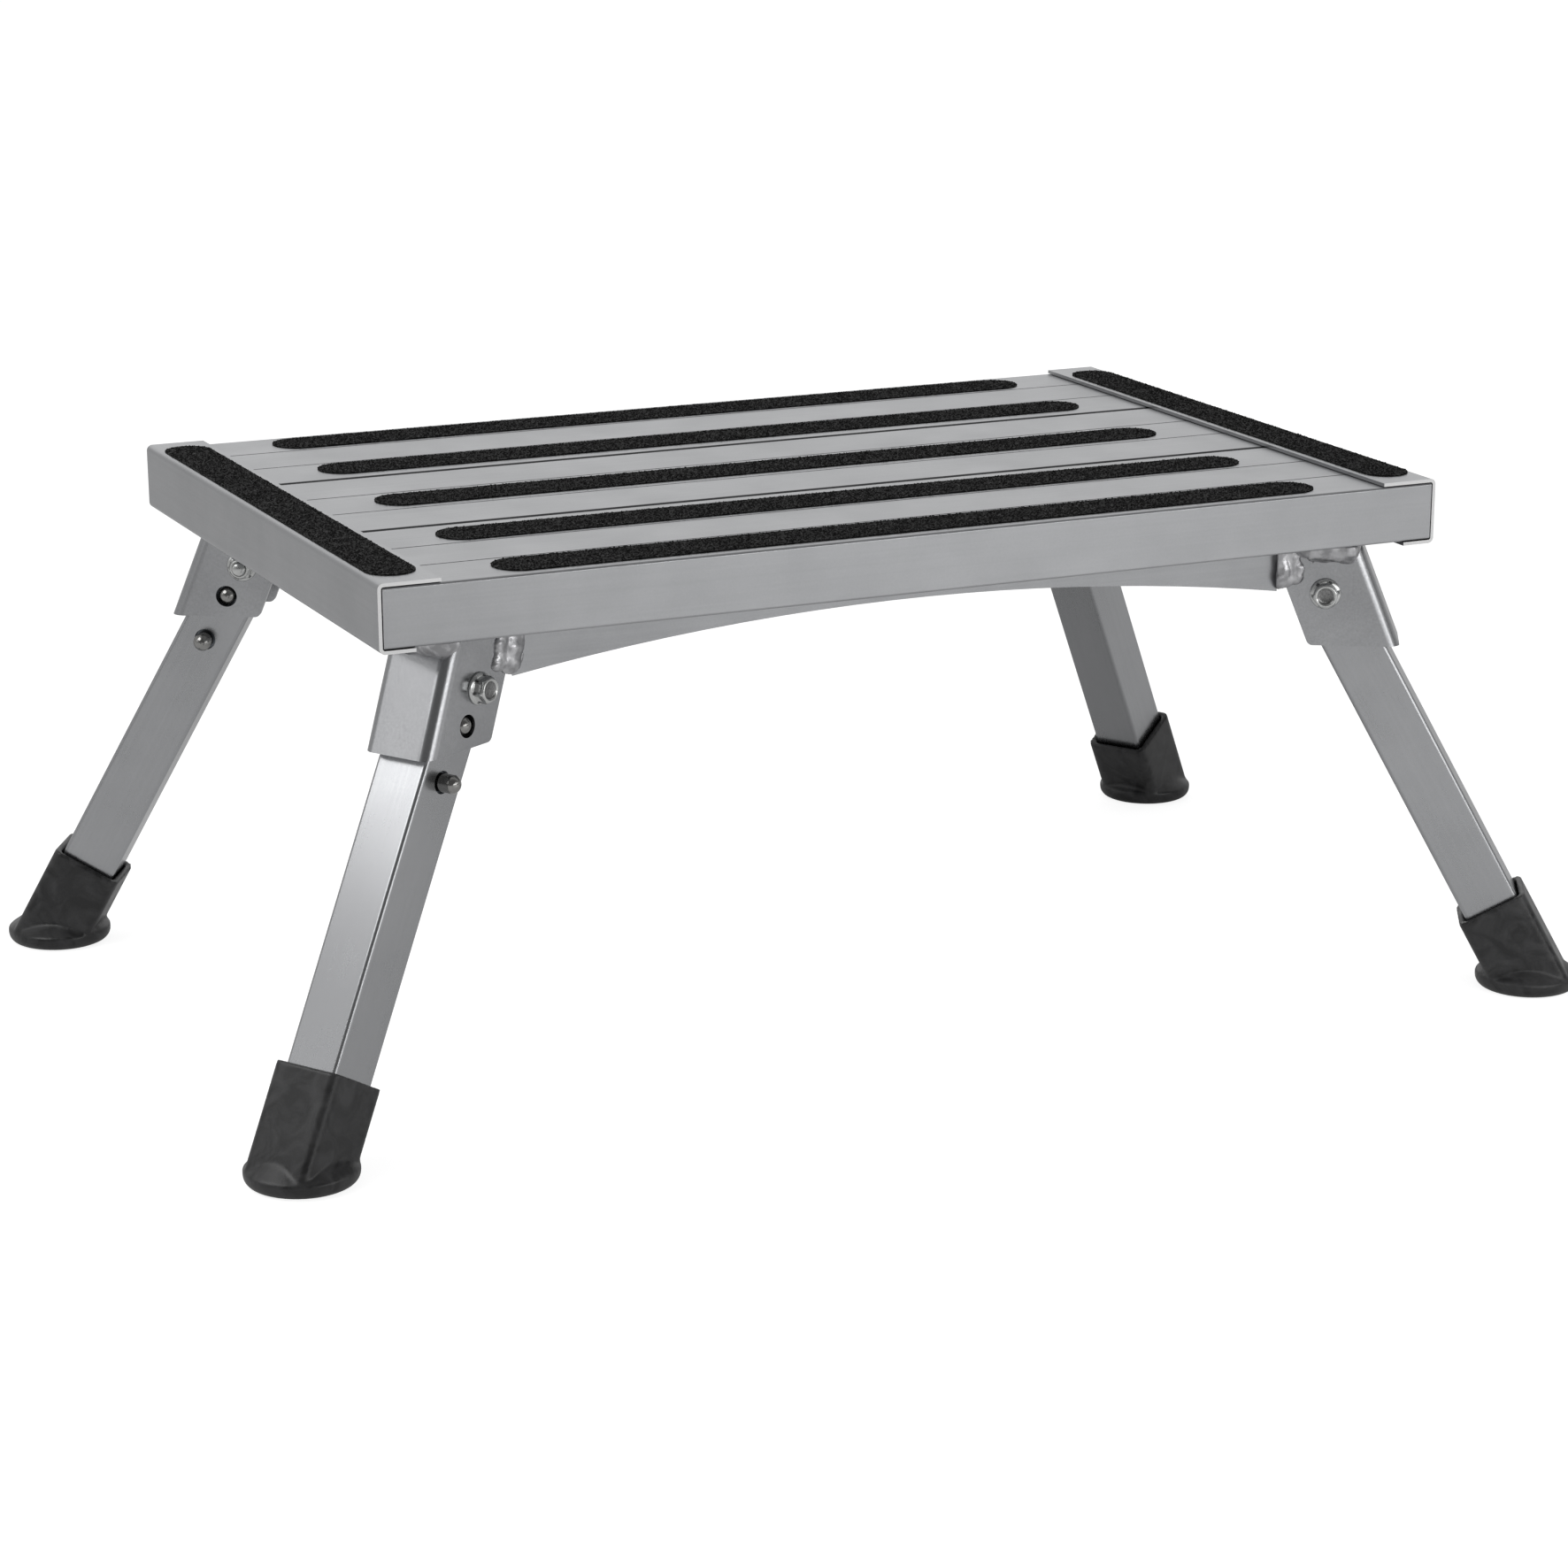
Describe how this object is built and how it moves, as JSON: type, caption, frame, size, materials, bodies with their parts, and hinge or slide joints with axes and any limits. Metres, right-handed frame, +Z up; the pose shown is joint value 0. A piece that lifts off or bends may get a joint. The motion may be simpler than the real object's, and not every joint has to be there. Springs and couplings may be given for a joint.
{
  "type": "caravan entry step",
  "caption": "Low aluminium entry step with a plank deck, black grip strips, arched side rails and splayed folding legs on rubber feet, each locked by a spring button.",
  "frame": {"origin": "on the ground under the middle of the deck, with the legs open", "axes": "+X along the deck's length, +Y from the front rail to the back rail, +Z up"},
  "size_m": [0.6314, 0.4004, 0.2349],
  "materials": {
    "plank_aluminium": "extruded, silver anodised, satin",
    "channel_aluminium": "folded sheet, silver anodised, satin",
    "arch_aluminium": "cut plate, satin",
    "bracket_aluminium": "folded sheet, satin",
    "weld_aluminium": "rippled weld bead, bright",
    "leg_aluminium": "drawn square tube, silver anodised, satin",
    "grit_tape": "black mineral grit, coarse and matt",
    "zinc_steel": "bright zinc plate",
    "button_steel": "bright nickel plate",
    "spring_steel": "blue-grey spring steel strip",
    "foot_rubber": "moulded black rubber, matt with scuffs"
  },
  "bodies": {
    "deck": {"front_plank": "plank_aluminium", "middle_plank": "plank_aluminium", "back_plank": "plank_aluminium", "left_end_channel": "channel_aluminium", "right_end_channel": "channel_aluminium", "front_outer_grip": "grit_tape", "front_inner_grip": "grit_tape", "middle_grip": "grit_tape", "back_inner_grip": "grit_tape", "back_outer_grip": "grit_tape", "left_end_grip": "grit_tape", "right_end_grip": "grit_tape", "front_arch_rail": "arch_aluminium", "back_arch_rail": "arch_aluminium", "front_left_bracket": "bracket_aluminium", "front_left_weld": "weld_aluminium", "front_left_hinge_bolt": "zinc_steel", "front_left_hinge_nut": "zinc_steel", "front_right_bracket": "bracket_aluminium", "front_right_weld": "weld_aluminium", "front_right_hinge_bolt": "zinc_steel", "front_right_hinge_nut": "zinc_steel", "back_left_bracket": "bracket_aluminium", "back_left_weld": "weld_aluminium", "back_left_hinge_bolt": "zinc_steel", "back_left_hinge_nut": "zinc_steel", "back_right_bracket": "bracket_aluminium", "back_right_weld": "weld_aluminium", "back_right_hinge_bolt": "zinc_steel", "back_right_hinge_nut": "zinc_steel"},
    "front_left_leg": {"front_left_leg_tube": "leg_aluminium", "front_left_rubber_foot": "foot_rubber", "front_left_button_spring": "spring_steel"},
    "front_left_buttons": {"front_left_lock_button": "button_steel", "front_left_release_button": "button_steel"},
    "front_right_leg": {"front_right_leg_tube": "leg_aluminium", "front_right_rubber_foot": "foot_rubber", "front_right_button_spring": "spring_steel"},
    "front_right_buttons": {"front_right_lock_button": "button_steel", "front_right_release_button": "button_steel"},
    "back_left_leg": {"back_left_leg_tube": "leg_aluminium", "back_left_rubber_foot": "foot_rubber", "back_left_button_spring": "spring_steel"},
    "back_left_buttons": {"back_left_lock_button": "button_steel", "back_left_release_button": "button_steel"},
    "back_right_leg": {"back_right_leg_tube": "leg_aluminium", "back_right_rubber_foot": "foot_rubber", "back_right_button_spring": "spring_steel"},
    "back_right_buttons": {"back_right_lock_button": "button_steel", "back_right_release_button": "button_steel"}
  },
  "joints": [
    {"name": "front_left_fold", "type": "hinge", "parent": "deck", "child": "front_left_leg", "pos_m": [-0.2074, -0.1268, 0.184], "axis": [0.5075, -0.8616, 0], "range_deg": [0, 119], "deforming": ["front_left_lock_button"]},
    {"name": "front_left_press", "type": "slide", "parent": "front_left_leg", "child": "front_left_buttons", "axis": [-0.5075, 0.8616, 0], "range_m": [0, 0.005], "stiffness_N_per_m": 2000, "springref_m": -0.002, "deforming": ["front_left_button_spring"]},
    {"name": "front_right_fold", "type": "hinge", "parent": "deck", "child": "front_right_leg", "pos_m": [0.2074, -0.1268, 0.184], "axis": [0.5075, 0.8616, 0], "range_deg": [0, 119], "deforming": ["front_right_lock_button"]},
    {"name": "front_right_press", "type": "slide", "parent": "front_right_leg", "child": "front_right_buttons", "axis": [-0.5075, -0.8616, 0], "range_m": [0, 0.005], "stiffness_N_per_m": 2000, "springref_m": -0.002, "deforming": ["front_right_button_spring"]},
    {"name": "back_left_fold", "type": "hinge", "parent": "deck", "child": "back_left_leg", "pos_m": [-0.2074, 0.1268, 0.184], "axis": [-0.5075, -0.8616, 0], "range_deg": [0, 119], "deforming": ["back_left_lock_button"]},
    {"name": "back_left_press", "type": "slide", "parent": "back_left_leg", "child": "back_left_buttons", "axis": [0.5075, 0.8616, 0], "range_m": [0, 0.005], "stiffness_N_per_m": 2000, "springref_m": -0.002, "deforming": ["back_left_button_spring"]},
    {"name": "back_right_fold", "type": "hinge", "parent": "deck", "child": "back_right_leg", "pos_m": [0.2074, 0.1268, 0.184], "axis": [-0.5075, 0.8616, 0], "range_deg": [0, 119], "deforming": ["back_right_lock_button"]},
    {"name": "back_right_press", "type": "slide", "parent": "back_right_leg", "child": "back_right_buttons", "axis": [0.5075, -0.8616, 0], "range_m": [0, 0.005], "stiffness_N_per_m": 2000, "springref_m": -0.002, "deforming": ["back_right_button_spring"]}
  ]
}
